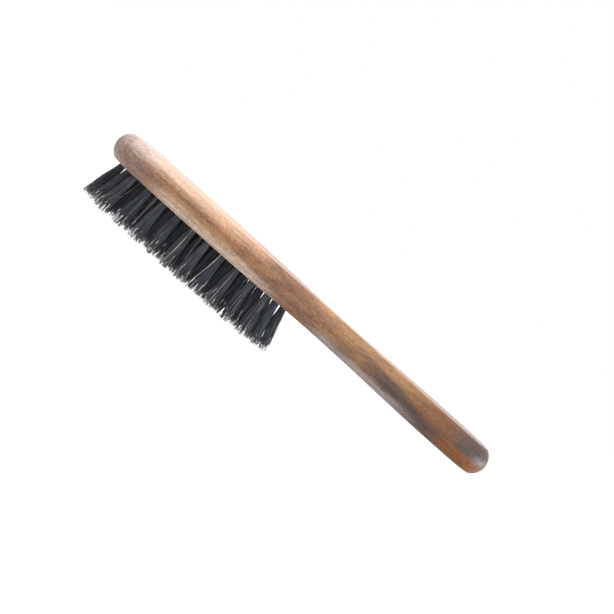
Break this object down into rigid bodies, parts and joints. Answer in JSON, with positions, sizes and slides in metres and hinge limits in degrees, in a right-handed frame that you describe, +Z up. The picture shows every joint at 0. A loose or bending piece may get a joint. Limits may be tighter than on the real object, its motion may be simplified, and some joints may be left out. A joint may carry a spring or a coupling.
{
  "type": "body dry brush",
  "caption": "Body dry brush: a slim one-piece wooden handle and oval head with full-round edges, and an oval pad of short dark bristle tufts set into its underside.",
  "frame": {"origin": "under the middle of the length, at the height of the lowest bristle tips", "axes": "+X from the head to the handle's end, +Z up out of the head's back, bristles pointing down -Z"},
  "size_m": [0.24, 0.038, 0.0382],
  "materials": {
    "lacquered_wood": "satin",
    "bristle": "satin",
    "anchor_wire": "satin"
  },
  "bodies": {
    "root": {"handle_body": "lacquered_wood", "tuft_anchors": "anchor_wire", "tuft_centre_01": "bristle", "tuft_centre_02": "bristle", "tuft_centre_03": "bristle", "tuft_centre_04": "bristle", "tuft_centre_05": "bristle", "tuft_centre_06": "bristle", "tuft_centre_07": "bristle", "tuft_centre_08": "bristle", "tuft_centre_09": "bristle", "tuft_centre_10": "bristle", "tuft_centre_11": "bristle", "tuft_centre_12": "bristle", "tuft_far_inner_01": "bristle", "tuft_far_inner_02": "bristle", "tuft_far_inner_03": "bristle", "tuft_far_inner_04": "bristle", "tuft_far_inner_05": "bristle", "tuft_far_inner_06": "bristle", "tuft_far_inner_07": "bristle", "tuft_far_inner_08": "bristle", "tuft_far_inner_09": "bristle", "tuft_far_inner_10": "bristle", "tuft_far_inner_11": "bristle", "tuft_far_outer_01": "bristle", "tuft_far_outer_02": "bristle", "tuft_far_outer_03": "bristle", "tuft_far_outer_04": "bristle", "tuft_far_outer_05": "bristle", "tuft_far_outer_06": "bristle", "tuft_far_outer_07": "bristle", "tuft_far_outer_08": "bristle", "tuft_far_outer_09": "bristle", "tuft_far_outer_10": "bristle", "tuft_near_inner_01": "bristle", "tuft_near_inner_02": "bristle", "tuft_near_inner_03": "bristle", "tuft_near_inner_04": "bristle", "tuft_near_inner_05": "bristle", "tuft_near_inner_06": "bristle", "tuft_near_inner_07": "bristle", "tuft_near_inner_08": "bristle", "tuft_near_inner_09": "bristle", "tuft_near_inner_10": "bristle", "tuft_near_inner_11": "bristle", "tuft_near_outer_01": "bristle", "tuft_near_outer_02": "bristle", "tuft_near_outer_03": "bristle", "tuft_near_outer_04": "bristle", "tuft_near_outer_05": "bristle", "tuft_near_outer_06": "bristle", "tuft_near_outer_07": "bristle", "tuft_near_outer_08": "bristle", "tuft_near_outer_09": "bristle", "tuft_near_outer_10": "bristle"}
  },
  "joints": []
}
